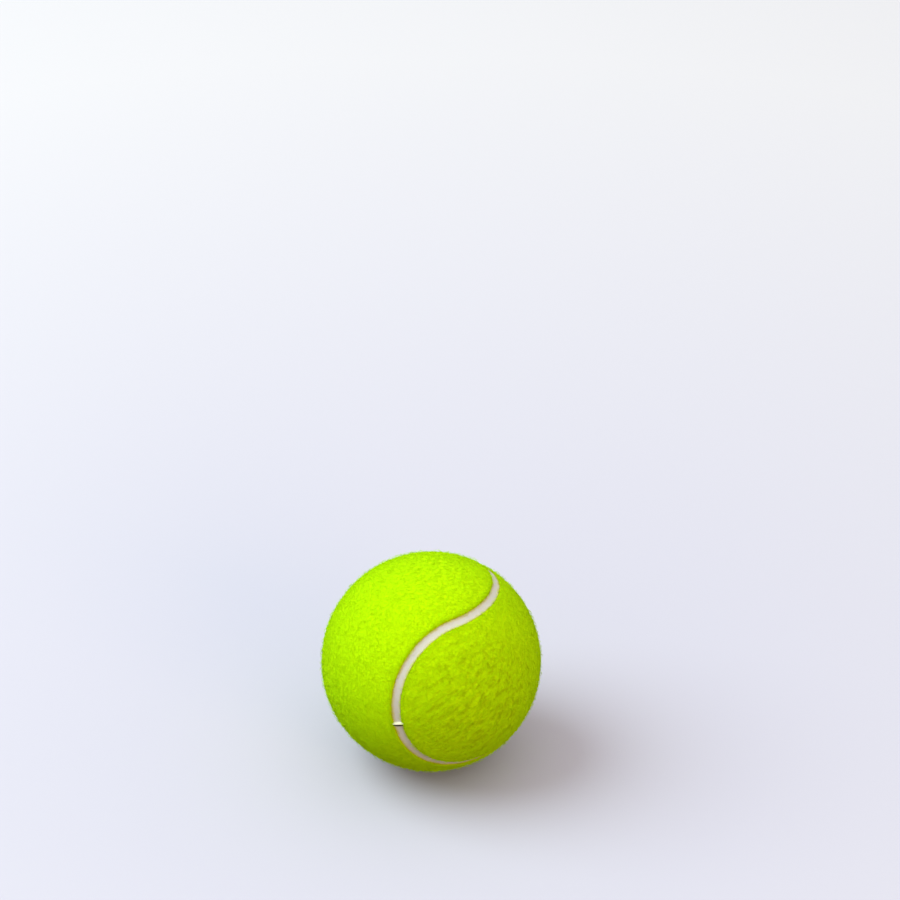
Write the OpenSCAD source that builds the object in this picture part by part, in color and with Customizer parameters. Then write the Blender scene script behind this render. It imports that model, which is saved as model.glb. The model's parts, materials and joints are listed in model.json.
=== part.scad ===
// A pressurised tennis ball: a hollow rubber core made of two moulded cups, covered by
// two felt panels of one shape that interlock along a single closed seam.
//
// The seam is four circular arcs on the sphere. Each runs round the middle of one lobe, and
// neighbouring arcs touch where they pass into each other. The ball's own axes have the waist
// of the first panel over +Z and the waist of the second under -Z. The whole ball is then
// turned to lie as it does on the floor, with its centre at the origin.

/* [Ball] */
// Diameter over the felt, before any fuzz
ball_d = 67; // [65.4:0.1:68.6]
// Wall of the rubber core
core_wall = 3.3; // [2.5:0.1:4.5]

/* [Core joint] */
// Cement between the rims of the two cups
rim_gap = 0.2; // [0.1:0.05:0.5]
// Bevel on the inner edge of each rim, which the cement fills
rim_bevel = 0.8; // [0.3:0.1:1.2]
// Rubber solution that the closed core is dipped in
dip_t = 0.2; // [0.1:0.05:0.4]

/* [Felt] */
// Raised nap of the felt
nap_t = 2.5; // [2.1:0.1:3.2]
// Woven base of the felt
base_t = 0.8; // [0.5:0.05:1.2]
// Radius of the rolled lip of the felt along the seam
lip_r = 1.1; // [0.6:0.1:1.5]
// What the felt's surface trims off the top of the lip's round
lip_trim = 0.06; // [0.03:0.01:0.1]

/* [Seam] */
// Width of the seam
seam_w = 2.4; // [1.6:0.1:3.4]
// How far the seam lies below the felt
seam_depth = 0.8; // [0.4:0.1:1.4]
// How far each lobe's middle drops past the line that halves the ball, in degrees
lobe_drop = 9.5; // [6:0.5:13]

/* [Mould mark] */
// Height of the small ridges that the mould's parting line leaves across the seam
mark_h = 0.5; // [0.2:0.05:0.7]
// Width of those ridges, measured along the seam
mark_w = 0.7; // [0.4:0.1:1.5]
// Turn of the mould's parting line about the waist axis, in degrees
mark_turn = -5.7; // [-20:0.1:20]

/* [How the ball lies] */
// Turn about the vertical, in degrees
heading = 129.5; // [-180:0.5:180]
// Tilt of the waist axis away from the vertical, in degrees
lean = 77.2; // [0:0.2:180]
// Turn about the waist axis, in degrees
spin = -10.7; // [-180:0.1:180]

/* [Drawing] */
// Straight steps in a full circle
steps = 96; // [48:8:160]

/* [Hidden] */
$fn = steps;

// Overrun of every cut past what it cuts
over = 1;

// Radii of the layers, from the outside in
ball_r = ball_d / 2;
base_r = ball_r - nap_t;
dip_r = base_r - base_t;
core_r = dip_r - dip_t;
bore_r = core_r - core_wall;

// Radii of the seam and of the ridges on it
seam_r = ball_r - seam_depth;
mark_r = seam_r + mark_h;
reach = ball_r + over;

// Angle from a lobe's middle to the seam: the circles of neighbouring lobes just touch
lobe_angle = acos(-pow(sin(lobe_drop), 2)) / 2;
// The circles touch this far round from a lobe, as seen from above the waist
turning_point = 45;
half_turn = 180;
// Slope of the line from one lobe's middle to the next, where it passes the turning point
crossing_slope = atan2(sin(lobe_drop), cos(lobe_drop) * cos(turning_point));

// Middle of the lip's round, in the seam's cross section: along the ball's radius, and to the side
lip_side = seam_w / 2 + lip_r;
lip_out = ball_r - lip_r + lip_trim;
lip_up = sqrt(pow(lip_out, 2) - pow(lip_side, 2));

felt_green = "#B4FF00";
cloth_cream = "#D9D2B0";
seam_white = "#E0DACE";
rubber_grey = "#5B5A57";
cement_amber = "#A08B5A";

// Puts the children in the ball's resting place
module as_it_lies() {
    rotate([0, 0, heading]) rotate([lean, 0, 0]) rotate([0, 0, spin]) children();
}

// Repeats one quarter of a symmetrical piece in all four quarters
module four_quarters() {
    for (flip_x = [0, 1], flip_y = [0, 1])
        mirror([flip_x, 0, 0]) mirror([0, flip_y, 0]) children();
}

// Turns the first panel's shape into the place of the second
module second_panel() {
    rotate(half_turn, [1, 1, 0]) children();
}

// One quarter of all space, on the +X and +Y sides
module quarter() {
    translate([0, 0, -reach]) cube([reach, reach, 2 * reach]);
}

// A frame whose +X runs through the turning point and whose XY plane holds both lobes' middles
module at_turning_point() {
    rotate([0, 0, turning_point]) rotate([crossing_slope, 0, 0]) children();
}

// Everything on the lower side of that plane
module below() {
    at_turning_point() translate([-reach, -reach, -reach]) cube([2 * reach, 2 * reach, reach]);
}

// Stands the children's Z axis on a lobe's middle: side -1 is the first panel's, 1 the second's
module on_lobe(side) {
    at_turning_point() rotate([0, 90, side * lobe_angle]) children();
}

// The circle of one lobe, as a cone from the ball's centre
module lobe_cone(side) {
    on_lobe(side) cylinder(h = reach, r1 = 0, r2 = reach * tan(lobe_angle));
}

// Carries a cross section round a lobe's circle, with the section's X along the ball's radius
module round_lobe(side) {
    on_lobe(side) rotate_extrude() rotate(90 - lobe_angle) children();
}

// The children's part in this quarter, below the line between the lobes' middles
module lower_part() {
    intersection() {
        children();
        below();
        quarter();
    }
}

// The children's part in this quarter, above that line
module upper_part() {
    difference() {
        intersection() {
            children();
            quarter();
        }
        below();
    }
}

// Carries a cross section along the whole seam
module along_seam() {
    four_quarters() {
        lower_part() round_lobe(-1) children();
        upper_part() round_lobe(1) children();
    }
}

// Cross section of the seam between two radii
module seam_section(inner_r, outer_r) {
    difference() {
        intersection() {
            translate([0, -seam_w / 2]) square([reach, seam_w]);
            circle(r = outer_r);
        }
        circle(r = inner_r);
    }
}

// Cross section of the groove that the felt leaves for the seam, with its rolled lips
module groove_section() {
    flare = reach / lip_out;
    difference() {
        polygon([
            [bore_r, -seam_w / 2], [lip_up, -seam_w / 2], [lip_up, -lip_side],
            [lip_up * flare, -lip_side * flare], [lip_up * flare, lip_side * flare],
            [lip_up, lip_side], [lip_up, seam_w / 2], [bore_r, seam_w / 2]
        ]);
        for (side = [-1, 1])
            translate([lip_up, side * lip_side]) circle(r = lip_r);
    }
}

// A layer of the ball between two radii
module layer(inner_r, outer_r) {
    difference() {
        sphere(r = outer_r);
        sphere(r = inner_r);
    }
}

// The first panel's part of a layer: two lobes joined by a waist, less the groove
module panel(inner_r, outer_r) {
    four_quarters() {
        difference() {
            lower_part() intersection() {
                layer(inner_r, outer_r);
                lobe_cone(-1);
            }
            round_lobe(-1) groove_section();
        }
        difference() {
            upper_part() layer(inner_r, outer_r);
            lobe_cone(1);
            round_lobe(1) groove_section();
        }
    }
}

// Small ridges where the mould's parting line crosses the seam, which fill the felt's lips
module mould_marks() {
    for (turn = [0, half_turn])
        rotate([0, 0, turn]) intersection() {
            round_lobe(-1) difference() {
                intersection() {
                    groove_section();
                    circle(r = mark_r);
                }
                circle(r = base_r);
            }
            rotate([0, 0, mark_turn]) translate([0, -mark_w / 2, -reach])
                cube([reach, mark_w, reach]);
        }
}

// Cross section of one cup, from its rim down to the axis
module cup_section() {
    difference() {
        intersection() {
            translate([0, -reach]) square([reach, reach - rim_gap / 2]);
            circle(r = core_r);
        }
        circle(r = bore_r);
        polygon([
            [0, over], [0, -rim_gap / 2 - rim_bevel], [bore_r, -rim_gap / 2 - rim_bevel],
            [bore_r + rim_bevel, -rim_gap / 2], [bore_r + rim_bevel, over]
        ]);
    }
}

module core_half_lower() {
    color(rubber_grey) rotate_extrude() cup_section();
}

module core_half_upper() {
    color(rubber_grey) mirror([0, 0, 1]) rotate_extrude() cup_section();
}

// Fills the gap between the rims and the bevels inside them
module core_joint_cement() {
    color(cement_amber) rotate_extrude() intersection() {
        polygon([
            [bore_r, -rim_gap / 2 - rim_bevel], [bore_r + rim_bevel, -rim_gap / 2],
            [reach, -rim_gap / 2], [reach, rim_gap / 2],
            [bore_r + rim_bevel, rim_gap / 2], [bore_r, rim_gap / 2 + rim_bevel]
        ]);
        circle(r = core_r);
    }
}

module core_dip_coat() {
    color(cement_amber) layer(core_r, dip_r);
}

module base_cloth_a() {
    color(cloth_cream) as_it_lies() panel(dip_r, base_r);
}

module base_cloth_b() {
    color(cloth_cream) as_it_lies() second_panel() panel(dip_r, base_r);
}

module nap_a() {
    color(felt_green) as_it_lies() panel(base_r, ball_r);
}

module nap_b() {
    color(felt_green) as_it_lies() second_panel() panel(base_r, ball_r);
}

// The band between the panels, with the mould's marks on it
module seam_cement() {
    color(seam_white) as_it_lies() {
        along_seam() seam_section(dip_r, seam_r);
        mould_marks();
    }
}

core_half_lower();
core_half_upper();
core_joint_cement();
core_dip_coat();
base_cloth_a();
base_cloth_b();
nap_a();
nap_b();
seam_cement();
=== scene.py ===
"""A new tennis ball: two felt panels with their loose fibres, the rubber seam between them, the
woven cloth and the rubber core inside, and a plain studio.

The seam is four arcs. Each runs round the middle of one lobe, and they meet at four turning
points. So every layer is one cross section, spun round the lobes and mirrored.
"""

import json
import math
import random

import bmesh
import bpy
from bpy.props import FloatProperty, FloatVectorProperty, IntProperty, PointerProperty
from mathutils import Matrix, Quaternion, Vector, noise

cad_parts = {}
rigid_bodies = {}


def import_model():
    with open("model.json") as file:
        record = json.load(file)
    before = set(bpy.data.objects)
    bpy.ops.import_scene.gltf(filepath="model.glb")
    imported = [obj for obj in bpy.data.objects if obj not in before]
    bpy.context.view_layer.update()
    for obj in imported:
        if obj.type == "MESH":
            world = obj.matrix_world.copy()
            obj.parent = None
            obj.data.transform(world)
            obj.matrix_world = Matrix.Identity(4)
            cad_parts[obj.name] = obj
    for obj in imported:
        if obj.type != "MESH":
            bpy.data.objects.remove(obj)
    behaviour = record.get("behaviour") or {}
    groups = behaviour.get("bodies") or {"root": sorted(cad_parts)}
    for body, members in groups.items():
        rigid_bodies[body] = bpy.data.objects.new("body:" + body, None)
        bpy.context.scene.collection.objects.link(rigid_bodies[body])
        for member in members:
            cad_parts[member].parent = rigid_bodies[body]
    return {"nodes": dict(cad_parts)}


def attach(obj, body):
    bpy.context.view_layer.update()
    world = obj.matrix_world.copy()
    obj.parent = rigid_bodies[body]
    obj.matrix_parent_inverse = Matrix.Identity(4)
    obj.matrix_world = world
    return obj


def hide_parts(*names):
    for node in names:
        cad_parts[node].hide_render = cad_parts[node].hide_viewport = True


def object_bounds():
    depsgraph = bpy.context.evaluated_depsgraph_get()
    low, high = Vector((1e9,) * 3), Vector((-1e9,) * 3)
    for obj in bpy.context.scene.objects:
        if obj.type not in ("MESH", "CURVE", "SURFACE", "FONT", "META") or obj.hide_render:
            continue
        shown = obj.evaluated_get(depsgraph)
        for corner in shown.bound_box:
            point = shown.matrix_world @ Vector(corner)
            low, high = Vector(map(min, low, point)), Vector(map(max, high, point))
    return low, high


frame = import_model()
CAD_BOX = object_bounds()

bl_info = {
    "name": "Tennis Ball",
    "version": (1, 0, 0),
    "blender": (4, 5, 0),
    "location": "View3D > Sidebar > Tennis Ball",
    "description": "Builds the felt, fibres, seam, core and studio of a tennis ball",
    "category": "Object",
}

MM = 0.001
SEED = 7
CENTRE = (0, 0, 0)
BALL_WIDTH = CAD_BOX[1].z - CAD_BOX[0].z
# Vertices closer than this are one
WELD = 0.002 * MM

# Side of a lobe's arc on which a layer lies
LOBE = -1
WAIST = 1
# The two panels: the letter that their pieces are named by, and whether it is the second one
PANELS = (("a", False), ("b", True))

# Steps across a layer's cross section, and round a lobe's arc
NAP_STEPS = (60, 190)
CLOTH_STEPS = (20, 80)
SEAM_STEPS = (14, 260)
# Steps round the nap's rolled lip, and across its hidden underside
LIP_STEPS = 8
UNDERSIDE_STEPS = 8

# How far below the skin the felt's rolled edge starts, over what depth the edge's strays take the
# place of the skin's lumps, and how far below the skin the cement's stain and the edge's painted shade are
# full
EDGE_TOP = 0.1 * MM
EDGE_FADE = 0.5 * MM
STAIN_AND_SHADE_DEPTH = 0.5 * MM

# Fibres have a few shapes. Most lie flat, and one shape in six stands up
FIBRE_SHAPES = 12
UPRIGHT_EVERY = 6
UPRIGHT = 0.75 * MM
LYING = 0.15 * MM
# Most that a fibre bends to the side, as a share of its length
MOST_BEND = 0.35
# A fibre's lower tip goes at least this deep into the felt
ROOT_DEPTH = 0.12 * MM
# A bundle of so many fibres stays under 200,000 triangles
MOST_FIBRES = 16500
# What each root carries for the fibre that stands on it, and its kind of value
ROOT_VALUES = {"turn": "FLOAT_VECTOR", "growth": "FLOAT", "kind": "INT"}

# How fast a soft noise's octaves fade, and how much finer each is than the last
OCTAVES = (1.0, 2.0)

# Stain and painted bounce light: 0 at the seam's middle, 1 at its edges, and this much as painted shadow in
# a mark's crease
CREASE_SHADOW = 2.0
# Part of a mark that its crease takes, from one side (-1) to the other (1), and how much of the
# mark's size is left there. The crease is sunk and painted with shadow
CREASE_SPAN = (-0.6, 0.1)
CREASE_SINK = 0.85
# Powers that draw a round mark out towards a box, across the seam, along it and upwards
MARK_BLUNTNESS = (0.7, 0.9, 0.8)
# How deep a mark's foot lies in the seam
MARK_FOOT = 0.5 * MM

# How far the floor reaches on each side, in metres
FLOOR_REACH = 6


def linear(hex_colour):
    """Turns an sRGB hex colour into linear red, green and blue."""
    shares = [int(hex_colour[k : k + 2], 16) / 255 for k in (1, 3, 5)]
    return tuple(c / 12.92 if c <= 0.04045 else ((c + 0.055) / 1.055) ** 2.4 for c in shares)


def length(name, description, size_mm):
    """A length, given in millimetres and kept in metres."""
    return FloatProperty(
        name=name,
        description=description,
        default=size_mm * MM,
        min=0,
        subtype="DISTANCE",
        unit="LENGTH",
        precision=5,
    )


def turn(name, description, degrees):
    """An angle, given in degrees and kept in radians."""
    return FloatProperty(
        name=name,
        description=description,
        default=math.radians(degrees),
        subtype="ANGLE",
        unit="ROTATION",
    )


def ratio(name, description, value, lowest=0.0, highest=10.0):
    """A plain number."""
    return FloatProperty(name=name, description=description, default=value, min=lowest, max=highest)


def colour(name, description, hex_colour):
    """A colour, given as an sRGB hex value and kept as a linear one."""
    return FloatVectorProperty(
        name=name,
        description=description,
        default=linear(hex_colour),
        size=3,
        min=0,
        max=1,
        subtype="COLOR",
    )


class BallSizes(bpy.types.PropertyGroup):
    """Sizes of the ball's layers and of the curve that its seam follows."""

    diameter: length("Diameter", "Across the felt, before its fuzz", BALL_WIDTH / MM)
    nap: length("Nap", "Thickness of the felt's raised nap", 2.5)
    cloth: length("Cloth", "Thickness of the felt's woven base", 0.8)
    lip: length("Lip radius", "Radius of the felt's rolled edge", 1.1)
    seam_width: length("Seam width", "Distance between the edges of the two panels", 2.4)
    seam_depth: length("Seam depth", "How far the middle of the seam lies below the felt", 0.65)
    seam_climb: length("Seam climb", "How much higher the seam stands at its edges", 0.25)
    seam_bed: length("Seam bed", "How far the seam reaches under the edges of the felt", 0.15)
    mark_width: length("Mark width", "Size of a mould mark along the seam", 1.5)
    mark_height: length("Mark height", "How far a mould mark stands out of the seam", 0.75)
    mark_reach: length("Mark reach", "Size of a mould mark across the seam", 4.5)
    mark_turn: turn("Mark turn", "Turn of the mould's parting line about the waist", -5.7)
    lobe_drop: turn("Lobe drop", "How far a lobe's middle lies past the line that halves the ball", 9.5)
    heading: turn("Heading", "Turn of the ball about the vertical", 129.5)
    lean: turn("Lean", "Tilt of the waist away from the vertical", 77.2)
    spin: turn("Spin", "Turn of the ball about its waist", -10.7)


class FeltSizes(bpy.types.PropertyGroup):
    """Sizes of the felt's surface and of its loose fibres."""

    relief: length("Relief", "Height of the felt's soft lumps", 0.05)
    ruffled_relief: length("Ruffled relief", "Height of the lumps on the lobe whose nap is ruffled", 0.18)
    # Painted shade: how dark the streaks of the ruffled nap are painted
    ruffled_shade_share: ratio("Ruffled share", "How dark the streaks of the ruffled nap get", 0.48, highest=1.0)
    ruffled_inner: turn("Ruffled inside", "Up to here from that lobe's middle it is fully ruffled", 16)
    ruffled_outer: turn("Ruffled outside", "Past here from that lobe's middle the nap lies smooth", 46)
    streak_stretch: ratio("Streak stretch", "Length of a streak by its width", 3.3, lowest=1.0)
    nap_way: FloatVectorProperty(
        name="Nap way",
        description="Way that the nap's streaks run",
        default=(0.8, 0.1, 0.6),
        subtype="DIRECTION",
    )
    lump: length("Lump", "Distance from one lump of the felt to the next", 1.7)
    wander: length("Wander", "How far the felt's edge strays from a true line", 0.1)
    fibre_width: length("Fibre width", "Thickness of a drawn fibre", 0.085)
    fibre_length: length("Fibre length", "Length of a drawn fibre", 1.7)
    bundles: IntProperty(
        name="Bundles", description="Meshes of loose fibres on each panel", default=3, min=1, max=5
    )
    fibres: IntProperty(
        name="Fibres", description="Fibres in each bundle", default=MOST_FIBRES, min=100, max=MOST_FIBRES
    )
    lip_reach: length("Lip reach", "How far in from the seam's edge fibres grow more thickly", 1.6)
    lip_growth: ratio("Lip growth", "How much more thickly they grow there", 2.0)


class BallColours(bpy.types.PropertyGroup):
    """Colours of the ball and of the studio."""

    felt: colour("Felt", "Felt where light reaches it", "#CAFC00")
    # Painted shade between the fibres, mixed in with the felt's own uneven tone
    felt_deep_shade: colour("Felt depth", "Felt between the fibres", "#C4F000")
    # Painted shade in the streaks of the ruffled nap
    felt_laid_shade: colour("Laid felt", "Felt whose nap lies away from the light", "#9DB400")
    # Cement stain and painted shade on the rolled edge below the felt's skin
    felt_edge_stain_and_shade: colour("Felt edge", "Felt that the seam's cement has soaked", "#DCD60A")
    fibre: colour("Fibre", "Loose fibres", "#CBFE04")
    seam: colour("Seam", "Seam rubber", "#D6D9D4")
    # Dye and dust with painted bounce light: yellow light that the felt throws back at the seam's edges
    seam_stain_and_bounce: colour("Seam stain", "Seam rubber where dye and dust stay on it", "#CFCC8C")
    # Paler than the seam's rubber: the marks' own pale rubber with a painted highlight where light catches
    # the ridge
    mark: colour("Mark", "Thin, clean rubber of the mould marks", "#FAFFE4")
    # Painted shadow in the sunk crease beside a mould mark
    crease: colour("Crease", "Grime in the crease beside a mould mark", "#26240E")
    cloth: colour("Cloth", "Cotton threads of the woven base", "#D9D2B0")
    core: colour("Core", "Rubber of the core", "#5B5A57")
    cement: colour("Cement", "Rubber solution that glues the layers", "#A08B5A")
    floor: colour("Floor", "Paper under the ball", "#C9CADB")
    floor_far: colour("Far floor", "Paper half a metre away and more", "#D8D9E0")
    bounce: colour("Bounce", "Light that the floor throws back at the ball", "#583A2A")


def feed(tree, made, sockets):
    """Fills a node's inputs, given by name or number: each with a value, an output, or a node whose
    first output is meant. Inputs and outputs that the node's settings switch off are passed over."""
    for name, value in sockets.items():
        named = [s for s in made.inputs if s.enabled and s.name == name]
        target = named[0] if named else made.inputs[name]
        if isinstance(value, bpy.types.Node):
            value = next(s for s in value.outputs if s.enabled)
        if isinstance(value, bpy.types.NodeSocket):
            tree.links.new(value, target)
        else:
            target.default_value = value


def node(tree, kind, sockets=None, stops=(), **settings):
    """Adds one node with its settings, and feeds it. stops are a colour ramp's places and colours."""
    made = tree.nodes.new(kind)
    for name, value in settings.items():
        setattr(made, name, value)
    feed(tree, made, sockets or {})
    while stops and len(made.color_ramp.elements) < len(stops):
        made.color_ramp.elements.new(0.5)
    for k, (where, shade) in enumerate(stops):
        made.color_ramp.elements[k].position = where
        made.color_ramp.elements[k].color = (*shade, 1)
    return made


def new_material(name):
    """An empty material with its surface shader and the object's own coordinates."""
    material = bpy.data.materials.new(name)
    material.use_nodes = True
    tree = material.node_tree
    tree.nodes.clear()
    shader = node(tree, "ShaderNodeBsdfPrincipled")
    node(tree, "ShaderNodeOutputMaterial", {"Surface": shader})
    place = node(tree, "ShaderNodeTexCoord").outputs["Object"]
    return material, tree, shader, place


def per_mm(size_mm):
    """Scale of a noise whose grains are this far apart."""
    return 1 / (size_mm * MM)


def darker(shade, share):
    """A colour with this share of its light."""
    return tuple(c * share for c in shade)


def soak_and_shade(tree, place, dyed, colours):
    """Stains the felt's rolled edge, which lies nearer to the ball's centre than its skin, with the
    cement that it soaks up, and colours it with painted shade, as the edge lies below the skin."""
    skin_r = BALL_WIDTH / 2
    out = node(tree, "ShaderNodeVectorMath", {0: place}, operation="LENGTH")
    share = node(
        tree,
        "ShaderNodeMapRange",
        {"Value": out, "From Min": skin_r - EDGE_TOP, "From Max": skin_r - STAIN_AND_SHADE_DEPTH},
    )
    stain_and_painted_light = (*colours.felt_edge_stain_and_shade, 1)
    return node(tree, "ShaderNodeMix", {"Factor": share, "A": dyed, "B": stain_and_painted_light}, data_type="RGBA")


def ruffled_lobe(sizes):
    """Way from the ball's centre to the middle of the lobe whose nap is ruffled, on its own -X side."""
    return as_it_lies(sizes) @ (lobe_place(sizes, LOBE).col[2].xyz * Vector((-1, 1, 1)))


def paint_ruffled_shade(tree, place, dyed, colours, felt, middle):
    """Painted shade in streaks on the ruffled lobe: darker felt where its nap lies away from the light."""
    lie = Vector((1, 0, 0)).rotation_difference(Vector(felt.nap_way)).to_euler()
    drawn_out = node(
        tree,
        "ShaderNodeMapping",
        {"Vector": place, "Rotation": lie, "Scale": (felt.streak_stretch, 1, 1)},
        vector_type="TEXTURE",
    )
    streaks = node(
        tree,
        "ShaderNodeTexNoise",
        {"Vector": drawn_out, "Scale": per_mm(1.5), "Detail": 3.0, "Roughness": 0.6},
    )
    outwards = node(tree, "ShaderNodeVectorMath", {0: place}, operation="NORMALIZE")
    nearness = node(tree, "ShaderNodeVectorMath", {0: outwards, 1: middle}, operation="DOT_PRODUCT")
    share = node(
        tree,
        "ShaderNodeMapRange",
        {
            "Value": nearness,
            "From Min": math.cos(felt.ruffled_outer),
            "From Max": math.cos(felt.ruffled_inner),
            "To Max": felt.ruffled_shade_share,
        },
    )
    # Each streak takes up to this share of the painted shade colour
    laid_shade = node(
        tree,
        "ShaderNodeMapRange",
        {"Value": streaks, "From Min": 0.36, "From Max": 0.55, "To Min": share, "To Max": 0.0},
    )
    shade = (*colours.felt_laid_shade, 1)
    return node(tree, "ShaderNodeMix", {"Factor": laid_shade, "A": dyed, "B": shade}, data_type="RGBA")


def felt_material(colours, felt, middle):
    """Needled wool and nylon felt: matte and dyed, its matted threads catch soft light. Parts of it are
    darker with painted shade.
    """
    material, tree, shader, place = new_material("wool_nylon_felt")
    # Soft clouds, as the nap lies this way and that over a millimetre or two
    clouds = node(
        tree,
        "ShaderNodeTexNoise",
        {"Vector": place, "Scale": per_mm(1.5), "Detail": 3.0, "Roughness": 0.6},
    )
    # Matted threads: real ones are 0.02 mm thick, and are drawn half a millimetre apart so that they show
    threads = node(
        tree,
        "ShaderNodeTexNoise",
        {"Vector": place, "Scale": per_mm(0.55), "Detail": 4.0, "Roughness": 0.62, "Distortion": 1.6},
    )
    both = node(tree, "ShaderNodeMath", {0: clouds, 1: threads}, operation="ADD")
    tone = node(tree, "ShaderNodeMath", {0: both, 1: 0.5}, operation="MULTIPLY")
    # Uneven tone, with the darker felt depth colour as painted shade, partly in the hollows of the threads'
    # bump
    dyed = node(
        tree,
        "ShaderNodeValToRGB",
        {"Fac": tone},
        stops=((0.3, colours.felt_deep_shade), (0.5, colours.felt), (0.7, colours.fibre)),
    )
    feed(
        tree,
        shader,
        {
            "Base Color": soak_and_shade(tree, place, paint_ruffled_shade(tree, place, dyed, colours, felt, middle), colours),
            "Roughness": 0.95,
            "Specular IOR Level": 0.05,
            "Sheen Weight": 0.5,
            "Sheen Roughness": 0.45,
            "Sheen Tint": (*linear("#C8FF20"), 1),
            "Normal": node(
                tree, "ShaderNodeBump", {"Height": threads, "Strength": 0.2, "Distance": 0.12 * MM}
            ),
        },
    )
    return material


def fibre_material(colours, felt, middle):
    """Dyed wool and nylon fibres: soft matte hairs, a little paler than the mat they rise from. Light
    spreads inside them, so they are shaded partly as the skin of the ball that they lie on."""
    material, tree, shader, place = new_material("wool_nylon_fibre")
    own = place.node.outputs["Normal"]
    outwards = node(tree, "ShaderNodeVectorMath", {0: place}, operation="NORMALIZE")
    spread = node(tree, "ShaderNodeMix", {"Factor": 0.45, "A": own, "B": outwards}, data_type="VECTOR")
    drift = node(tree, "ShaderNodeTexNoise", {"Vector": place, "Scale": per_mm(1.2), "Detail": 2.0})
    dyed = node(
        tree, "ShaderNodeValToRGB", {"Fac": drift}, stops=((0.35, colours.felt), (0.65, colours.fibre))
    )
    feed(
        tree,
        shader,
        {
            # The fibres carry the felt's painted shade too, in the ruffled lobe's streaks and on the rolled
            # edge
            "Base Color": soak_and_shade(tree, place, paint_ruffled_shade(tree, place, dyed, colours, felt, middle), colours),
            "Roughness": 0.9,
            "Specular IOR Level": 0.05,
            "Sheen Weight": 0.6,
            "Sheen Roughness": 0.5,
            "Sheen Tint": (*linear("#B4FF20"), 1),
            "Normal": spread,
        },
    )
    return material


def seam_material(name, fresh, stain_and_painted_light):
    """Vulcanised white rubber cement: a matte, faintly grainy band, with a second colour painted at its
    edges:
    dye and dust with painted bounce light from the felt on the seam, and painted shadow in a mould mark's
    crease.
    fresh is its colour where it is clean; on the marks it is pale rubber with a painted highlight."""
    material, tree, shader, place = new_material(name)
    blotch = node(
        tree,
        "ShaderNodeTexNoise",
        {"Vector": place, "Scale": per_mm(2.4), "Detail": 3.0, "Roughness": 0.6},
    )
    grain = node(tree, "ShaderNodeTexNoise", {"Vector": place, "Scale": per_mm(0.35), "Detail": 3.0})
    edge = node(tree, "ShaderNodeAttribute", attribute_name="edge", attribute_type="GEOMETRY")
    # Stain with painted bounce light at the seam's edges, and painted shadow in a mark's crease
    stain_and_light_share = node(tree, "ShaderNodeMath", {0: edge.outputs["Fac"], 1: blotch}, operation="MULTIPLY")
    shown = node(tree, "ShaderNodeValToRGB", {"Fac": stain_and_light_share}, stops=((0.2, fresh), (0.5, stain_and_painted_light)))
    # The grain darkens it by 12 % at most
    speck = node(
        tree,
        "ShaderNodeMix",
        {"Factor": grain, "A": shown, "B": (0.88, 0.88, 0.88, 1)},
        data_type="RGBA",
        blend_type="MULTIPLY",
    )
    feed(
        tree,
        shader,
        {
            "Base Color": speck,
            "Roughness": node(tree, "ShaderNodeMapRange", {"Value": blotch, "To Min": 0.55, "To Max": 0.8}),
            "Specular IOR Level": 0.3,
            "Normal": node(
                tree, "ShaderNodeBump", {"Height": grain, "Strength": 0.35, "Distance": 0.06 * MM}
            ),
        },
    )
    return material


def cloth_material(colours):
    """Unbleached cotton cloth: warp and weft threads half a millimetre apart."""
    material, tree, shader, place = new_material("woven_cotton")
    # The bands of a texture of scale 1 are 2 pi / 20 apart
    spacing = 2 * math.pi / 20
    weave = []
    for direction in ("X", "Z"):
        threads = node(
            tree,
            "ShaderNodeTexWave",
            {"Vector": place, "Scale": spacing * per_mm(0.5), "Distortion": 0.6, "Detail": 1.0},
            wave_type="BANDS",
            bands_direction=direction,
            wave_profile="SIN",
        )
        weave.append(threads.outputs["Fac"])
    crossed = node(tree, "ShaderNodeMath", {0: weave[0], 1: weave[1]}, operation="MAXIMUM")
    # Uneven threads, which make the cloth paler and darker every few millimetres, and painted shade in the
    # gaps between the threads
    slub = node(tree, "ShaderNodeTexNoise", {"Vector": place, "Scale": per_mm(3), "Detail": 2.0})
    thread_shade_and_slub = node(tree, "ShaderNodeMath", {0: crossed, 1: slub}, operation="MULTIPLY")
    shown = node(
        tree,
        "ShaderNodeValToRGB",
        {"Fac": thread_shade_and_slub},
        stops=((0.0, darker(colours.cloth, 0.6)), (0.6, colours.cloth)),
    )
    bump = node(tree, "ShaderNodeBump", {"Height": crossed, "Strength": 0.6, "Distance": 0.1 * MM})
    feed(tree, shader, {"Base Color": shown, "Roughness": 0.92, "Sheen Weight": 0.1, "Normal": bump})
    return material


def core_material(colours):
    """Filled natural rubber, compression moulded: dull grey with a fine grain from the mould."""
    material, tree, shader, place = new_material("moulded_rubber")
    grain = node(tree, "ShaderNodeTexNoise", {"Vector": place, "Scale": per_mm(0.4), "Detail": 4.0})
    bloom = node(tree, "ShaderNodeTexNoise", {"Vector": place, "Scale": per_mm(9), "Detail": 3.0})
    shown = node(
        tree,
        "ShaderNodeValToRGB",
        {"Fac": bloom},
        stops=((0.3, darker(colours.core, 0.75)), (0.7, colours.core)),
    )
    rough = node(tree, "ShaderNodeMapRange", {"Value": grain, "To Min": 0.6, "To Max": 0.85})
    bump = node(tree, "ShaderNodeBump", {"Height": grain, "Strength": 0.3, "Distance": 0.05 * MM})
    feed(tree, shader, {"Base Color": shown, "Roughness": rough, "Normal": bump})
    return material


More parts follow.
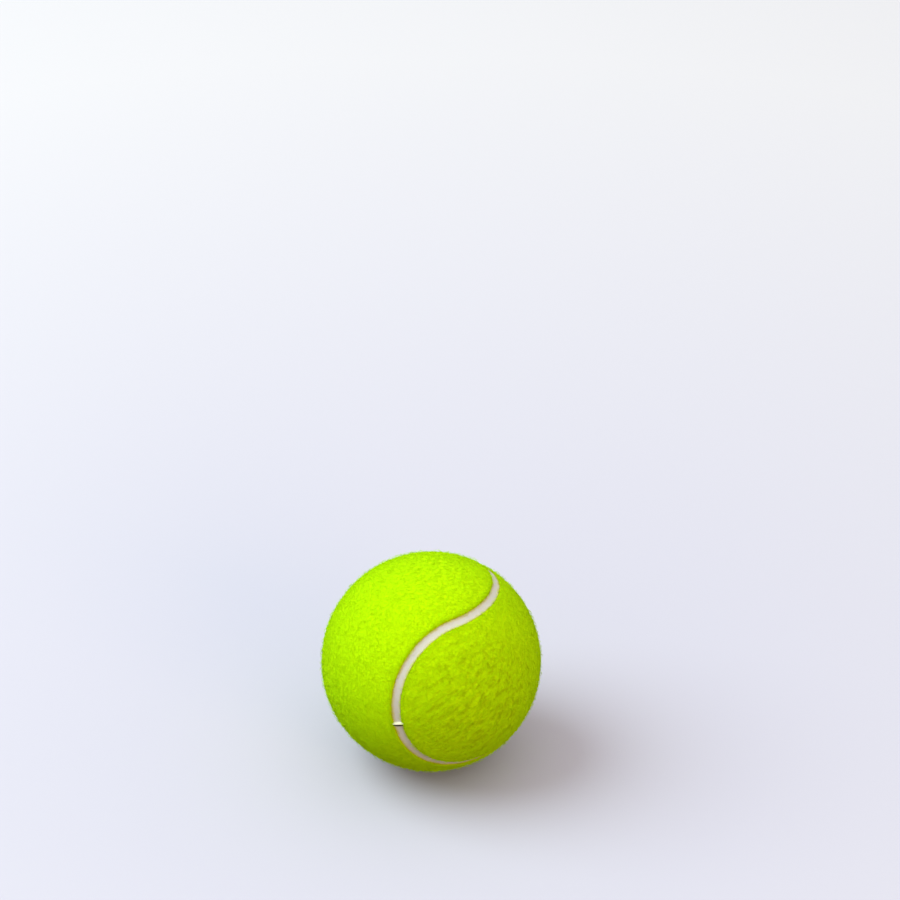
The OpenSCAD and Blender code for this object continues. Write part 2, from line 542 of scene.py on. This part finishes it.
def cement_material(colours):
    """Dried rubber solution: an amber skin with brush streaks, glossier than the rubber under it."""
    material, tree, shader, place = new_material("rubber_solution")
    streaks = node(
        tree,
        "ShaderNodeTexNoise",
        {"Vector": place, "Scale": per_mm(2), "Detail": 3.0, "Distortion": 2.0},
    )
    shown = node(
        tree,
        "ShaderNodeValToRGB",
        {"Fac": streaks},
        stops=((0.3, darker(colours.cement, 0.7)), (0.7, colours.cement)),
    )
    rough = node(tree, "ShaderNodeMapRange", {"Value": streaks, "To Min": 0.35, "To Max": 0.6})
    bump = node(tree, "ShaderNodeBump", {"Height": streaks, "Strength": 0.3, "Distance": 0.05 * MM})
    feed(tree, shader, {"Base Color": shown, "Roughness": rough, "Normal": bump})
    return material


def seen_plainly(tree):
    """1 for the rays that look at the background: straight, in a gloss or through clear stuff."""
    ray = node(tree, "ShaderNodeLightPath").outputs
    indirect = {0: ray["Is Glossy Ray"], 1: ray["Is Transmission Ray"]}
    mirrored = node(tree, "ShaderNodeMath", indirect, operation="MAXIMUM")
    return node(tree, "ShaderNodeMath", {0: ray["Is Camera Ray"], 1: mirrored}, operation="MAXIMUM")


def paper_material(colours):
    """Matte background paper: nearly white, with a faint uneven tone. It throws less light back at
    the ball than so pale a paper would, which keeps the ball's underside dark."""
    material, tree, shader, place = new_material("background_paper")
    tone = node(tree, "ShaderNodeTexNoise", {"Vector": place, "Scale": per_mm(400), "Detail": 2.0})
    shown = node(
        tree,
        "ShaderNodeValToRGB",
        {"Fac": tone},
        stops=((0.3, darker(colours.floor, 0.985)), (0.7, colours.floor)),
    )
    away = node(tree, "ShaderNodeVectorMath", {0: place}, operation="LENGTH")
    # Paler half a metre out, and paler still where the lamps don't reach, so that it looks even there
    for start, end, tint in ((0.1, 0.5, colours.floor_far), (0.8, 3.5, linear("#F6F9FF"))):
        reach = node(tree, "ShaderNodeMapRange", {"Value": away, "From Min": start, "From Max": end})
        blend = {"Factor": reach, "A": shown, "B": (*tint, 1)}
        shown = node(tree, "ShaderNodeMix", blend, data_type="RGBA")
    paper = node(
        tree,
        "ShaderNodeMix",
        {"Factor": seen_plainly(tree), "A": (*colours.bounce, 1), "B": shown},
        data_type="RGBA",
    )
    feed(tree, shader, {"Base Color": paper, "Roughness": 0.9, "Specular IOR Level": 0.1})
    return material


def lobe_angle(sizes):
    """Angle from a lobe's middle to the seam: the arcs of neighbouring lobes just touch."""
    return math.acos(-math.sin(sizes.lobe_drop) ** 2) / 2


def arc_span(sizes):
    """How far the seam runs round one lobe, from turning point to turning point."""
    drop = math.sin(sizes.lobe_drop)
    return 2 * math.acos(-drop / math.sqrt(1 + drop**2))


def lobe_place(sizes, side):
    """Stands Z on a lobe's middle and turns X to the turning point."""
    up, out = math.sin(sizes.lobe_drop), math.cos(sizes.lobe_drop)
    middle = Vector((out, 0, -up)) if side == LOBE else Vector((0, out, up))
    turning_point = Vector((1, 1, 0)).normalized()
    towards = (turning_point - middle * middle.dot(turning_point)).normalized()
    return Matrix((towards, middle.cross(towards), middle)).transposed().to_4x4()


def lobe_middles(sizes):
    """Ways to the middles of the first panel's lobe and of the second's."""
    return [lobe_place(sizes, side).col[2].xyz for side in (LOBE, WAIST)]


def in_quarter(middles, point):
    """Mirrors a point into the quarter on +X and +Y. Gives it there, the signs that bring it back,
    and which lobe's arc of the seam it lies along: 0 for the first panel's, 1 for the second's."""
    signs = Vector((math.copysign(1, point.x), math.copysign(1, point.y), 1))
    folded = point * signs
    return folded, signs, 0 if folded.dot(middles[0].cross(middles[1])) < 0 else 1


def second_panel():
    """Turns the first panel's shape into the place of the second."""
    return Matrix.Rotation(math.pi, 4, Vector((1, 1, 0)))


def as_it_lies(sizes):
    """Turns the ball's own axes to how it lies on the floor."""
    return (
        Matrix.Rotation(sizes.heading, 4, "Z")
        @ Matrix.Rotation(sizes.lean, 4, "X")
        @ Matrix.Rotation(sizes.spin, 4, "Z")
    )


def on_seam(sizes, side, outwards, across):
    """Point of the seam's cross section, on the lobe that stands on Z: outwards from the ball's
    centre, and across from the seam's middle to the side where the layer lies."""
    tilt = lobe_angle(sizes)
    return Vector(
        (
            outwards * math.sin(tilt) + side * across * math.cos(tilt),
            0,
            outwards * math.cos(tilt) - side * across * math.sin(tilt),
        )
    )


def draw_arc(bm, start, centre, angle, steps):
    """Carries a cross section on from start, round centre, and returns its last vertex."""
    made = bmesh.ops.spin(bm, geom=[start], cent=centre, axis=(0, 1, 0), angle=angle, steps=steps)
    return next(v for v in made["geom_last"] if isinstance(v, bmesh.types.BMVert))


def draw_nap(bm, sizes, side, steps):
    """Cross section of the nap: skin, rolled lip, wall and underside."""
    skin_r = sizes.diameter / 2
    under_r = skin_r - sizes.nap
    half = sizes.seam_width / 2
    lip_side = half + sizes.lip
    lip_up = math.sqrt((skin_r - sizes.lip) ** 2 - lip_side**2)
    lip_lean = math.atan2(lip_side, lip_up)
    lip_middle = on_seam(sizes, side, lip_up, lip_side)
    reach = lobe_angle(sizes)
    edge = bm.verts.new(on_seam(sizes, side, lip_up, half))
    top = draw_arc(bm, edge, lip_middle, side * (math.pi / 2 + lip_lean), LIP_STEPS)
    draw_arc(bm, top, CENTRE, side * (reach - lip_lean), steps)
    foot = bm.verts.new(on_seam(sizes, side, math.sqrt(under_r**2 - half**2), half))
    bm.edges.new((edge, foot))
    draw_arc(bm, foot, CENTRE, side * (reach - math.asin(half / under_r)), UNDERSIDE_STEPS)


def draw_cloth(bm, sizes, side, steps):
    """Cross section of the woven base, cut square at the seam."""
    top_r = sizes.diameter / 2 - sizes.nap
    half = sizes.seam_width / 2
    ends = []
    for radius in (top_r, top_r - sizes.cloth):
        edge = bm.verts.new(on_seam(sizes, side, math.sqrt(radius**2 - half**2), half))
        draw_arc(bm, edge, CENTRE, side * (lobe_angle(sizes) - math.asin(half / radius)), steps)
        ends.append(edge)
    bm.edges.new(ends)


def draw_seam(bm, sizes, side, steps):
    """Cross section of the seam band, pressed a little into the felt on both sides."""
    top_r = sizes.diameter / 2 - sizes.seam_depth
    foot_r = sizes.diameter / 2 - sizes.nap - sizes.cloth
    half = sizes.seam_width / 2 + sizes.seam_bed
    first = bm.verts.new(on_seam(sizes, side, math.sqrt(top_r**2 - half**2), -half))
    last = draw_arc(bm, first, CENTRE, side * 2 * math.asin(half / top_r), steps)
    feet = [bm.verts.new(on_seam(sizes, side, foot_r, across)) for across in (half, -half)]
    for ends in ((last, feet[0]), feet, (feet[1], first)):
        bm.edges.new(ends)


def as_mesh(bm, name):
    """Writes a finished bmesh into a new mesh."""
    mesh = bpy.data.meshes.new(name)
    bm.to_mesh(mesh)
    bm.free()
    return mesh


def join(target, bm):
    """Moves bm's mesh into target."""
    carrier = as_mesh(bm, "carrier")
    target.from_mesh(carrier)
    bpy.data.meshes.remove(carrier)


def sweep(draw, sizes, side, steps, around):
    """Carries a cross section round one lobe, and puts it in its place on the ball."""
    bm = bmesh.new()
    draw(bm, sizes, side, steps)
    section = bm.verts[:] + bm.edges[:]
    bmesh.ops.spin(bm, geom=section, cent=CENTRE, axis=(0, 0, -1), angle=arc_span(sizes), steps=around)
    bmesh.ops.transform(bm, matrix=lobe_place(sizes, side), verts=bm.verts)
    return bm


def squeeze(bm, sizes):
    """Draws in the outer part of a waist's sweep, so that it ends on the plane between its halves."""
    back = lobe_place(sizes, WAIST)
    to_lobe = back.inverted()
    middle, towards, sideways = (back.col[k].xyz for k in (2, 0, 1))
    tilt = lobe_angle(sizes)
    start = tilt + math.asin((sizes.seam_width / 2 + sizes.lip) / (sizes.diameter / 2 - sizes.lip))
    for v in bm.verts:
        on_lobe = to_lobe @ v.co
        tip = math.acos(on_lobe.z / on_lobe.length)
        if tip <= start:
            continue
        bearing = math.atan2(on_lobe.y, on_lobe.x)
        slope = math.cos(bearing) * towards.y + math.sin(bearing) * sideways.y
        end = math.atan2(middle.y, -slope)
        tip = start + (tip - start) * (end - start) / (2 * tilt - start)
        level = math.sin(tip)
        outwards = Vector((level * math.cos(bearing), level * math.sin(bearing), math.cos(tip)))
        v.co = back @ (outwards * on_lobe.length)


def both_sides(bm, axis):
    """Adds the mirror image of a swept half."""
    bmesh.ops.mirror(bm, geom=bm.verts[:] + bm.edges[:] + bm.faces[:], axis=axis, merge_dist=-1)


def layer(draw, sizes, steps, waisted):
    """One of the first panel's layers, or the seam: a cross section carried round that panel's two
    lobes, and on round the second's. A waisted layer closes in its middle, over the ball's own Z."""
    bm = sweep(draw, sizes, LOBE, *steps)
    both_sides(bm, "X")
    waist = sweep(draw, sizes, WAIST, *steps)
    if waisted:
        squeeze(waist, sizes)
    both_sides(waist, "Y")
    join(bm, waist)
    bmesh.ops.remove_doubles(bm, verts=bm.verts, dist=WELD)
    bmesh.ops.recalc_face_normals(bm, faces=bm.faces)
    return bm


def lay(bm, sizes, second=False):
    """Turns a finished shape to its place on the floor."""
    place = as_it_lies(sizes) @ (second_panel() if second else Matrix())
    bmesh.ops.transform(bm, matrix=place, verts=bm.verts)
    return place


def felt_relief(bm, sizes, felt, middle, rng):
    """Raises the soft lumps that needling and steaming leave in the felt, and lets its edge stray."""
    way = Vector(felt.nap_way).normalized()
    shift = Vector([rng.uniform(0, 100) for _ in range(3)])
    skin_r = sizes.diameter / 2
    bm.normal_update()
    for v in bm.verts:
        # The lower half of the nap doesn't show
        if v.co.length < skin_r - sizes.nap / 2:
            continue
        drawn_out = v.co - way * (1 - 1 / felt.streak_stretch) * v.co.dot(way)
        soft = noise.fractal(drawn_out / felt.lump + shift, *OCTAVES, 3)
        fine = noise.noise(v.co / (felt.lump * 0.3) - shift)
        edge = min(1.0, max(0.0, (skin_r - EDGE_TOP - v.co.length) / EDGE_FADE))
        ruffled = (felt.ruffled_outer - v.co.angle(middle)) / (felt.ruffled_outer - felt.ruffled_inner)
        height = felt.relief + (felt.ruffled_relief - felt.relief) * min(1.0, max(0.0, ruffled))
        # The lumps are lowered by 0.3 of their height, so that few of them stand out of the ball
        lumps = height * (0.75 * soft + 0.25 * fine - 0.3) * (1 - edge)
        # The edge strays over 3 mm, and half as far over 1.1 mm
        stray = noise.noise(v.co / (3 * MM) + shift) + 0.5 * noise.noise(v.co / (1.1 * MM) + shift)
        v.co += v.normal * (lumps + felt.wander * stray * edge)


def seam_bearing(sizes, middles, point):
    """How far a point of the felt lies from the seam's edge, and which way leads to the seam. The
    point is in the ball's own axes."""
    folded, signs, arc = in_quarter(middles, point)
    angle = folded.angle(middles[arc])
    gap = abs(angle - lobe_angle(sizes)) * sizes.diameter / 2 - sizes.seam_width / 2
    away = (folded.normalized() * math.cos(angle) - middles[arc]) * (-1 if arc else 1)
    return max(0.0, gap), away * signs


def corners(face):
    """The face's corners, from the one with the lowest number towards its lower neighbour. The
    operators number the vertices alike in every run, but not the faces or where they start."""
    verts = list(face.verts)
    first = min(range(len(verts)), key=lambda k: verts[k].index)
    verts = verts[first:] + verts[:first]
    return verts if verts[1].index < verts[-1].index else [verts[0], *reversed(verts[1:])]


def skin_faces(bm, sizes, felt, place):
    """The faces that fibres grow on, each with its corners, its share of the fibres, how near the
    seam's edge it is (1 on the lip, 0 further in) and which way leads to the seam."""
    seam_r = sizes.diameter / 2 - sizes.seam_depth
    middles = lobe_middles(sizes)
    to_own, to_floor = place.inverted(), place.to_3x3()
    bm.verts.index_update()
    grown = []
    for face in bm.faces:
        ring = corners(face)
        if min(v.co.length for v in ring) < seam_r:
            continue
        gap, away = seam_bearing(sizes, middles, to_own @ ring[0].co)
        lip = max(0.0, 1 - gap / felt.lip_reach)
        share = face.calc_area() * (1 + felt.lip_growth * lip)
        grown.append(([v.index for v in ring], ring, share, lip, to_floor @ away))
    return sorted(grown, key=lambda part: part[0])


def scatter_roots(grown, count, rng):
    """A mesh of single vertices where one bundle's fibres stand, with each one's turn, size and
    shape. They are strewn evenly, and lie the more across the seam the nearer to it they are."""
    bm = bmesh.new()
    layers = bm.verts.layers
    turns, growths, kinds = (getattr(layers, held.lower()).new(name) for name, held in ROOT_VALUES.items())
    step = sum(part[2] for part in grown) / count
    passed, aim = 0.0, step * rng.random()
    made = 0
    for _, ring, share, lip, away in grown:
        passed += share
        while aim < passed and made < count:
            # A triangle's fourth corner is its first again
            a, b, c, d = (v.co for v in (ring * 2)[:4])
            s, t = rng.random(), rng.random()
            normal = (c - a).cross(d - b if len(ring) > 3 else b - a).normalized()
            root = a.lerp(b, s).lerp(d.lerp(c, s), t)
            if normal.dot(root) < 0:
                normal.negate()
            along = (away - normal * away.dot(normal)).normalized()
            # Any way round on the open skin, and within 81 degrees of the way to the seam on its lip
            along.rotate(Quaternion(normal, rng.uniform(-1, 1) * math.pi * (1 - 0.55 * lip)))
            grow = bm.verts.new(root)
            grow[turns] = Matrix((along, normal.cross(along), normal)).transposed().to_euler()
            grow[growths] = rng.uniform(0.6, 1.3)
            grow[kinds] = rng.randrange(FIBRE_SHAPES)
            made += 1
            aim = step * (made + rng.random())
    return as_mesh(bm, "roots")


def finish_mesh(mesh, name, material):
    """Makes a finished mesh a piece of the ball."""
    mesh.name = name
    mesh.shade_smooth()
    mesh.materials.clear()
    mesh.materials.append(material)
    piece = bpy.data.objects.new(name, mesh)
    bpy.context.scene.collection.objects.link(piece)
    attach(piece, "root")
    return piece


def fibre_shape(name, rng, felt, stand):
    """One curled fibre along X, tapering to both ends: a three-sided prism, bent at its middle."""
    bm = bmesh.new()
    span = felt.fibre_length / 3
    bmesh.ops.create_cone(
        bm,
        cap_ends=True,
        cap_tris=False,
        segments=3,
        radius1=felt.fibre_width / 2,
        radius2=felt.fibre_width / 2,
        depth=span,
        matrix=Matrix.Rotation(math.pi / 2, 4, "Y"),
    )
    bm.normal_update()
    tips = []
    for cap in [f for f in bm.faces if abs(f.normal.x) > 0.9]:
        heading = math.copysign(1, cap.normal.x)
        tips.append((heading, bmesh.ops.poke(bm, faces=[cap])["verts"][0]))
    bend = rng.uniform(-MOST_BEND, MOST_BEND) * felt.fibre_length
    lift = rng.uniform(0.3, 1.0) * stand
    # The middle stretch rises from half the lift to all of it, and then the tips are drawn out
    for v in bm.verts:
        end = math.copysign(1, v.co.x)
        v.co += Vector((0, bend * 0.35 * end, lift * (0.75 + 0.25 * end)))
    for heading, tip in tips:
        tip.co.x += heading * span * rng.uniform(0.7, 1.1)
        tip.co.y += bend * rng.uniform(0.3, 1.2)
        tip.co.z += lift * rng.uniform(-0.2, 0.6) if heading > 0 else -lift * 0.8 - ROOT_DEPTH
    bmesh.ops.triangulate(bm, faces=bm.faces)
    mesh = as_mesh(bm, name)
    mesh.shade_smooth()
    return bpy.data.objects.new(name, mesh)


def growing_nodes(shapes):
    """Geometry nodes that stand one of the shapes on every root."""
    tree = bpy.data.node_groups.new("grown_fibres", "GeometryNodeTree")
    tree.interface.new_socket("Geometry", in_out="INPUT", socket_type="NodeSocketGeometry")
    tree.interface.new_socket("Geometry", in_out="OUTPUT", socket_type="NodeSocketGeometry")
    turn_by, growth, kind = (
        node(tree, "GeometryNodeInputNamedAttribute", {"Name": name}, data_type=held)
        for name, held in ROOT_VALUES.items()
    )
    choice = {"Collection": shapes, "Separate Children": True, "Reset Children": True}
    placed = node(
        tree,
        "GeometryNodeInstanceOnPoints",
        {
            "Points": node(tree, "NodeGroupInput"),
            "Instance": node(tree, "GeometryNodeCollectionInfo", choice),
            "Pick Instance": True,
            "Instance Index": kind,
            "Rotation": node(tree, "FunctionNodeEulerToRotation", {"Euler": turn_by}),
            "Scale": growth,
        },
    )
    whole = node(tree, "GeometryNodeRealizeInstances", {"Geometry": placed})
    node(tree, "NodeGroupOutput", {0: whole})
    return tree


def grown_fibres(roots, tree):
    """The mesh that the nodes make of the roots."""
    carrier = bpy.data.objects.new("roots", roots)
    bpy.context.scene.collection.objects.link(carrier)
    carrier.modifiers.new("fibres", "NODES").node_group = tree
    mesh = bpy.data.meshes.new_from_object(carrier.evaluated_get(bpy.context.evaluated_depsgraph_get()))
    bpy.data.objects.remove(carrier)
    bpy.data.meshes.remove(roots)
    for name in ROOT_VALUES:
        if name in mesh.attributes:
            mesh.attributes.remove(mesh.attributes[name])
    return mesh


def seam_relief(bm, sizes):
    """Pours the band unevenly: it climbs its edges, swells here and there and has small pits."""
    top_r = sizes.diameter / 2 - sizes.seam_depth
    half = sizes.seam_width / 2 + sizes.seam_bed
    middles = lobe_middles(sizes)
    edge = bm.verts.layers.float.new("edge")
    for v in bm.verts:
        # Only the band's upper face shows
        if v.co.length < top_r - 0.2 * MM:
            continue
        folded, _, arc = in_quarter(middles, v.co)
        across = abs(folded.angle(middles[arc]) - lobe_angle(sizes)) * top_r / half
        # Swells lie 2.2 mm apart and are 0.05 mm high, and pits 0.45 mm apart and 0.02 mm deep
        swell = noise.fractal(v.co / (2.2 * MM), *OCTAVES, 2)
        pits = noise.noise(v.co / (0.45 * MM))
        # Share of the stain and painted bounce light: 0 at the band's middle, 1 at its edges
        v[edge] = across
        v.co += v.co.normalized() * (sizes.seam_climb * across**3 + (0.05 * swell + 0.02 * pits) * MM)


def mark_place(sizes):
    """Stands Z on the middle of one mould mark, with X across the seam."""
    up, out = math.sin(sizes.lobe_drop), math.cos(sizes.lobe_drop) * math.cos(sizes.mark_turn)
    fall = math.atan2(up, out) + math.acos(math.cos(lobe_angle(sizes)) / math.hypot(up, out))
    outwards = Matrix.Rotation(sizes.mark_turn, 3, "Z") @ Vector((math.cos(fall), 0, -math.sin(fall)))
    lobe = lobe_middles(sizes)[0]
    across = (lobe - outwards * lobe.dot(outwards)).normalized()
    return Matrix((across, outwards.cross(across), outwards)).transposed().to_4x4()


def mould_mark(bm, sizes):
    """One ridge that the mould's parting line leaves across the seam: a bar with blunt, soft ends and
    a sunk crease along one side, painted with shadow."""
    noise.seed_set(SEED)
    edge = bm.verts.layers.float.new("edge")
    seam_r = sizes.diameter / 2 - sizes.seam_depth
    foot = seam_r - MARK_FOOT
    top = seam_r + sizes.mark_height
    poles_sideways = Matrix.Rotation(math.pi / 2, 4, "Y")
    bmesh.ops.create_uvsphere(bm, u_segments=24, v_segments=32, radius=1, matrix=poles_sideways)
    for v in bm.verts:
        # The crease side is sunk and painted with shadow
        if CREASE_SPAN[0] < v.co.y < CREASE_SPAN[1] and v.co.z > 0:
            v[edge] = CREASE_SHADOW
            v.co *= CREASE_SINK
        blunt = Vector([math.copysign(abs(c) ** power, c) for c, power in zip(v.co, MARK_BLUNTNESS)])
        blunt *= Vector((sizes.mark_reach, sizes.mark_width, top - foot)) / 2
        # Its ends droop with the ball, and its skin is uneven
        droop = 0.08 * MM * (2 * blunt.x / sizes.mark_reach) ** 2
        v.co = blunt + Vector((0, 0, (top + foot) / 2 - droop))
        v.co += 0.06 * MM * noise.noise_vector(v.co / (0.7 * MM))


def lay_floor(scene):
    """A plain floor of pale paper under the ball."""
    bm = bmesh.new()
    bmesh.ops.create_grid(bm, x_segments=8, y_segments=8, size=FLOOR_REACH)
    bmesh.ops.translate(bm, verts=bm.verts, vec=(0, 0, CAD_BOX[0].z))
    mesh = as_mesh(bm, "floor")
    mesh.materials.append(paper_material(scene.ball_colours))
    floor = bpy.data.objects.new("floor", mesh)
    scene.collection.objects.link(floor)


def hang_lamps(scene):
    """A wide, cool main lamp up on the left, and a weak, warm one low on the right in front."""
    for name, place, size, power, tint in (
        ("key", (-1.6, 0.1, 1.82), 2.33, 53.5, "#EEFFFA"),
        ("side", (1.0, -1.4, 0.4), 1.2, 11, "#FFCE92"),
    ):
        lamp = bpy.data.lights.new(name, "AREA")
        lamp.shape = "DISK"
        lamp.size = size
        lamp.energy = power
        lamp.color = linear(tint)
        light = bpy.data.objects.new(name, lamp)
        light.location = place
        light.rotation_euler = (-Vector(place)).to_track_quat("-Z", "Y").to_euler()
        scene.collection.objects.link(light)


def light_room(scene):
    """A pale room round the ball, which looks a little brighter than the light that it sheds."""
    world = bpy.data.worlds.new("studio")
    world.use_nodes = True
    tree = world.node_tree
    tree.nodes.clear()
    room = node(tree, "ShaderNodeBackground", {"Color": (*linear("#FFF7F4"), 1), "Strength": 0.82})
    seen = node(tree, "ShaderNodeBackground", {"Color": (*linear("#F9F8FF"), 1), "Strength": 0.88})
    mixed = node(tree, "ShaderNodeMixShader", {0: seen_plainly(tree), 1: room, 2: seen})
    node(tree, "ShaderNodeOutputWorld", {"Surface": mixed})
    scene.world = world


def set_camera(scene):
    """A long lens just over a metre away, which looks down at the ball at 32 degrees."""
    data = bpy.data.cameras.new("camera")
    data.lens = 138.8
    data.sensor_width = 36
    data.clip_start = 0.05
    data.clip_end = 50
    camera = bpy.data.objects.new("camera", data)
    camera.location = (0.0058, -0.8715, 0.6180)
    camera.rotation_euler = (math.radians(58.14), 0, 0)
    scene.collection.objects.link(camera)
    scene.camera = camera


class BALL_OT_felt(bpy.types.Operator):
    """Makes the two felt panels and strews their loose fibres"""

    bl_idname = "ball.felt"
    bl_label = "Felt Panels"

    def execute(self, context):
        sizes, felt, colours = context.scene.ball_sizes, context.scene.felt_sizes, context.scene.ball_colours
        rng = random.Random(SEED)
        shapes = bpy.data.collections.new("fibre_shapes")
        context.scene.collection.children.link(shapes)
        for k in range(FIBRE_SHAPES):
            stand = LYING if k % UPRIGHT_EVERY else UPRIGHT
            shapes.objects.link(fibre_shape(f"fibre_{k:02d}", rng, felt, stand))
        tree = growing_nodes(shapes)
        middle = ruffled_lobe(sizes)
        mat, hair = felt_material(colours, felt, middle), fibre_material(colours, felt, middle)
        for letter, second in PANELS:
            bm = layer(draw_nap, sizes, NAP_STEPS, waisted=True)
            place = lay(bm, sizes, second)
            felt_relief(bm, sizes, felt, middle, rng)
            grown = skin_faces(bm, sizes, felt, place)
            for k in range(felt.bundles):
                fibres = grown_fibres(scatter_roots(grown, felt.fibres, rng), tree)
                finish_mesh(fibres, f"loose_fibres_{letter}_{k + 1}", hair)
            name = f"felt_panel_{letter}"
            piece = finish_mesh(as_mesh(bm, name), name, mat)
            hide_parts(f"nap_{letter}")
        for shape in list(shapes.objects):
            bpy.data.objects.remove(shape)
        bpy.data.collections.remove(shapes)
        bpy.data.node_groups.remove(tree)
        return {"FINISHED"}


class BALL_OT_woven_base(bpy.types.Operator):
    """Makes the woven cloth under the nap of each panel"""

    bl_idname = "ball.woven_base"
    bl_label = "Woven Base"

    def execute(self, context):
        sizes = context.scene.ball_sizes
        cotton = cloth_material(context.scene.ball_colours)
        for letter, second in PANELS:
            bm = layer(draw_cloth, sizes, CLOTH_STEPS, waisted=True)
            lay(bm, sizes, second)
            name = f"woven_base_{letter}"
            piece = finish_mesh(as_mesh(bm, name), name, cotton)
            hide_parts(f"base_cloth_{letter}")
        return {"FINISHED"}


class BALL_OT_seam(bpy.types.Operator):
    """Makes the rubber band between the panels and the mould's two marks on it"""

    bl_idname = "ball.seam"
    bl_label = "Seam"

    def execute(self, context):
        sizes = context.scene.ball_sizes
        colours = context.scene.ball_colours
        rubber = seam_material("white_rubber_cement", colours.seam, colours.seam_stain_and_bounce)
        flash = seam_material("white_rubber_flash", colours.mark, colours.crease)
        bm = layer(draw_seam, sizes, SEAM_STEPS, waisted=False)
        seam_relief(bm, sizes)
        lay(bm, sizes)
        band = finish_mesh(as_mesh(bm, "seam_band"), "seam_band", rubber)
        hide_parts("seam_cement")
        marks = bmesh.new()
        mould_mark(marks, sizes)
        bmesh.ops.transform(marks, matrix=mark_place(sizes), verts=marks.verts)
        opposite = marks.copy()
        half_turn = Matrix.Rotation(math.pi, 3, "Z")
        bmesh.ops.rotate(opposite, cent=CENTRE, matrix=half_turn, verts=opposite.verts)
        join(marks, opposite)
        lay(marks, sizes)
        bmesh.ops.recalc_face_normals(marks, faces=marks.faces)
        finish_mesh(as_mesh(marks, "mould_marks"), "mould_marks", flash)
        return {"FINISHED"}


class BALL_OT_core(bpy.types.Operator):
    """Gives the rubber core and its cement their finish"""

    bl_idname = "ball.core"
    bl_label = "Core"

    def execute(self, context):
        colours = context.scene.ball_colours
        rubber, cement = core_material(colours), cement_material(colours)
        finishes = {
            "core_half_lower": rubber,
            "core_half_upper": rubber,
            "core_joint_cement": cement,
            "core_dip_coat": cement,
        }
        for name, finish in finishes.items():
            slots = frame["nodes"][name].data.materials
            slots.clear()
            slots.append(finish)
        return {"FINISHED"}


class BALL_OT_studio(bpy.types.Operator):
    """Sets up the floor, the soft lights and the camera"""

    bl_idname = "ball.studio"
    bl_label = "Studio"

    def execute(self, context):
        for set_up in (lay_floor, hang_lamps, light_room, set_camera):
            set_up(context.scene)
        context.scene.view_settings.view_transform = "Standard"
        return {"FINISHED"}


class BALL_PT_sidebar(bpy.types.Panel):
    """Lists the ball's pieces, sizes and colours"""

    bl_label = "Tennis Ball"
    bl_space_type = "VIEW_3D"
    bl_region_type = "UI"
    bl_category = "Tennis Ball"

    def draw(self, context):
        scene = context.scene
        for operator in PIECES:
            self.layout.operator(operator.bl_idname)
        for group in (scene.ball_sizes, scene.felt_sizes, scene.ball_colours):
            box = self.layout.box()
            for name in group.__annotations__:
                box.prop(group, name)


PIECES = (BALL_OT_woven_base, BALL_OT_felt, BALL_OT_seam, BALL_OT_core, BALL_OT_studio)
CLASSES = (BallSizes, FeltSizes, BallColours, *PIECES, BALL_PT_sidebar)


def register():
    for made in CLASSES:
        bpy.utils.register_class(made)
    bpy.types.Scene.ball_sizes = PointerProperty(type=BallSizes)
    bpy.types.Scene.felt_sizes = PointerProperty(type=FeltSizes)
    bpy.types.Scene.ball_colours = PointerProperty(type=BallColours)


def unregister():
    del bpy.types.Scene.ball_colours
    del bpy.types.Scene.felt_sizes
    del bpy.types.Scene.ball_sizes
    for made in reversed(CLASSES):
        bpy.utils.unregister_class(made)


def main():
    """Builds the ball and its studio."""
    register()
    bpy.ops.ball.woven_base()
    bpy.ops.ball.felt()
    bpy.ops.ball.seam()
    bpy.ops.ball.core()
    bpy.ops.ball.studio()


if __name__ == "__main__":
    main()
